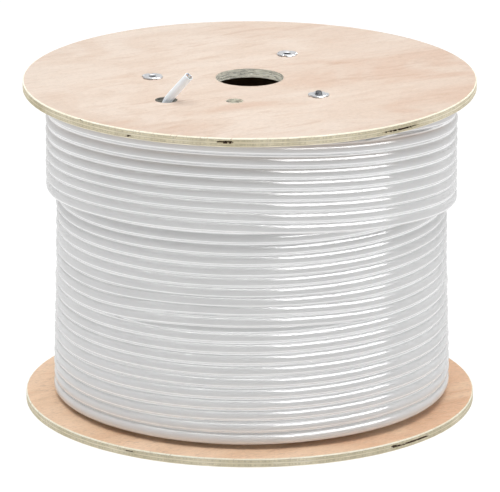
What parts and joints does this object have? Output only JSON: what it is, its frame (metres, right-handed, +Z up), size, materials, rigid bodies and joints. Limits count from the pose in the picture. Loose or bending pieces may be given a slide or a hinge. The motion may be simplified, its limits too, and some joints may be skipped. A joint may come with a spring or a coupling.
{
  "type": "cable reel",
  "caption": "Round plywood reel of white network cable, its flanges bolted onto a cardboard barrel with tee nuts, the cable's inner end coming up through the top flange.",
  "frame": {"origin": "on the reel's axis, at the underside of the bottom flange", "axes": "+Z up along the reel's axis; -Y is the front, where the cable end leans out of the top flange"},
  "size_m": [0.4, 0.4, 0.3209],
  "materials": {
    "plywood": "sanded poplar-type face veneer, grey-tan ply edge, unvarnished",
    "cardboard": "spiral-wound kraft board, matte",
    "plated_steel": "zinc-plated machine screw",
    "bright_zinc": "bright zinc plating",
    "white_jacket": "white PVC jacket, satin gloss",
    "separator": "natural polyethylene",
    "clear_tape": "clear packing tape",
    "wire_blue": "blue insulation",
    "wire_pale_blue": "white insulation, blue stripe",
    "wire_orange": "orange insulation",
    "wire_pale_orange": "white insulation, orange stripe",
    "wire_green": "green insulation",
    "wire_pale_green": "white insulation, green stripe",
    "wire_brown": "brown insulation",
    "wire_pale_brown": "white insulation, brown stripe"
  },
  "bodies": {
    "root": {"top_flange": "plywood", "bottom_flange": "plywood", "barrel_tube": "cardboard", "tie_bolt_1": "plated_steel", "tie_bolt_2": "plated_steel", "tie_bolt_3": "plated_steel", "bolt_washer_1": "bright_zinc", "bolt_washer_2": "bright_zinc", "bolt_washer_3": "bright_zinc", "tee_nut_1": "bright_zinc", "tee_nut_2": "bright_zinc", "tee_nut_3": "bright_zinc", "cable_winding": "white_jacket", "cable_outer_layer": "white_jacket", "cable_end_jacket": "white_jacket", "cable_end_separator": "separator", "finish_tape": "clear_tape", "wire_blue_solid": "wire_blue", "wire_blue_striped": "wire_pale_blue", "wire_orange_solid": "wire_orange", "wire_orange_striped": "wire_pale_orange", "wire_green_solid": "wire_green", "wire_green_striped": "wire_pale_green", "wire_brown_solid": "wire_brown", "wire_brown_striped": "wire_pale_brown"}
  },
  "joints": []
}
